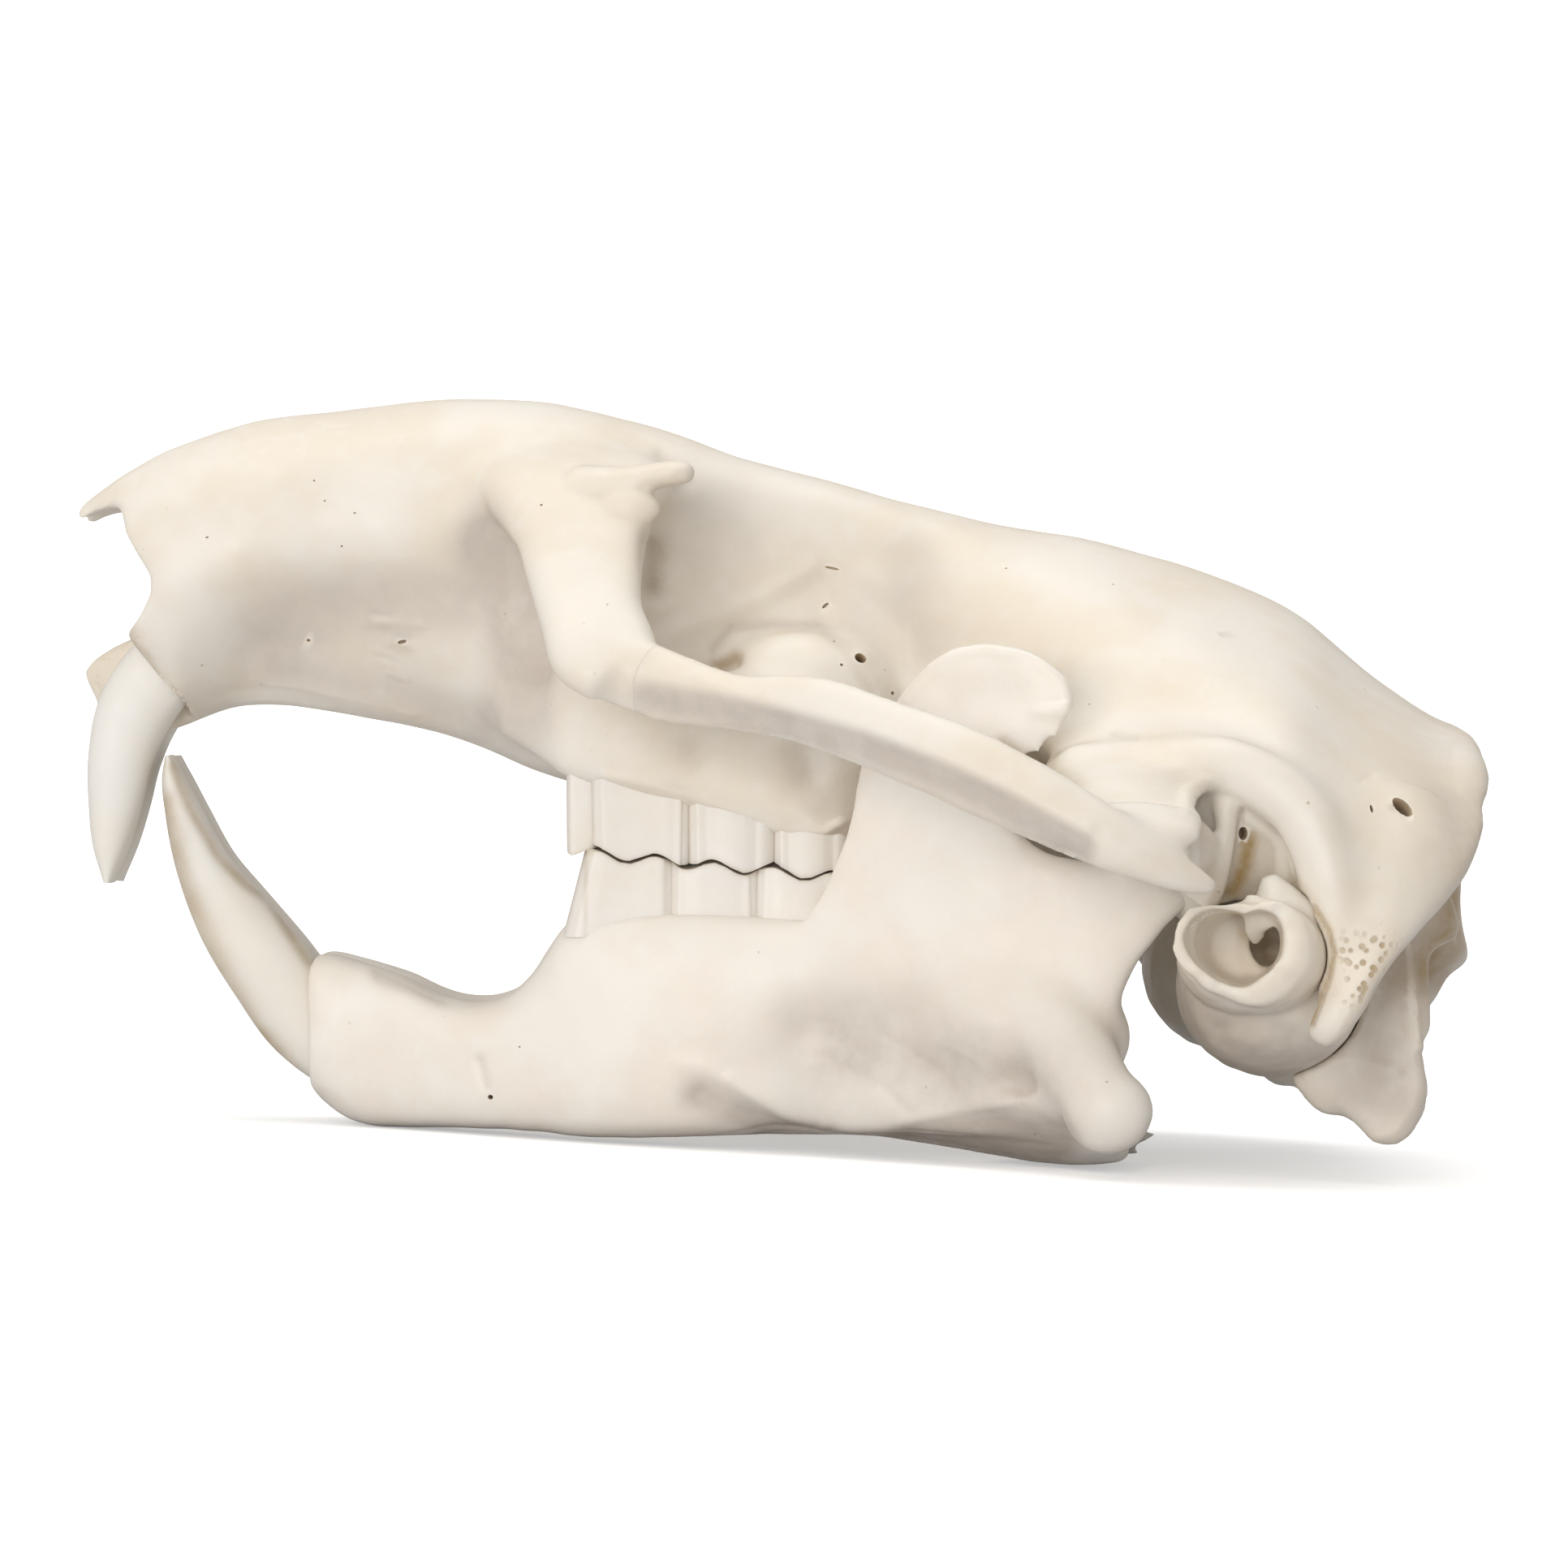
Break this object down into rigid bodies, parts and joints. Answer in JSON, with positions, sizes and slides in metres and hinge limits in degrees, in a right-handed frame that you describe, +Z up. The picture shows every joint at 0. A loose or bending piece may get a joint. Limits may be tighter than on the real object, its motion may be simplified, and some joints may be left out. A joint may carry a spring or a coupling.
{
  "type": "mountain beaver skull",
  "caption": "Life-size rodent skull for display, jaw closed: arched snout, long front teeth, wide cheek arches, ear bullae and a broad, flat back of the head.",
  "frame": {"origin": "centre of the bounding box at its lowest point, on the surface that the jaw rests on", "axes": "+X from the nose to the back of the head, +Y to the animal's right, +Z up"},
  "size_m": [0.0691, 0.0528, 0.0357],
  "materials": {
    "skull_bone": "dry, cleaned bone, satin",
    "bulla_bone": "dry, thin bone, satin",
    "jaw_bone": "dry, cleaned bone, satin",
    "tooth_enamel": "pale enamel, softly glossy"
  },
  "bodies": {
    "root": {"cranium": "skull_bone", "zygomatic_arch_left": "skull_bone", "zygomatic_arch_right": "skull_bone", "auditory_bulla_left": "bulla_bone", "auditory_bulla_right": "bulla_bone", "mandible_left": "jaw_bone", "mandible_right": "jaw_bone", "upper_incisor_left": "tooth_enamel", "upper_incisor_right": "tooth_enamel", "lower_incisor_left": "tooth_enamel", "lower_incisor_right": "tooth_enamel"}
  },
  "joints": []
}
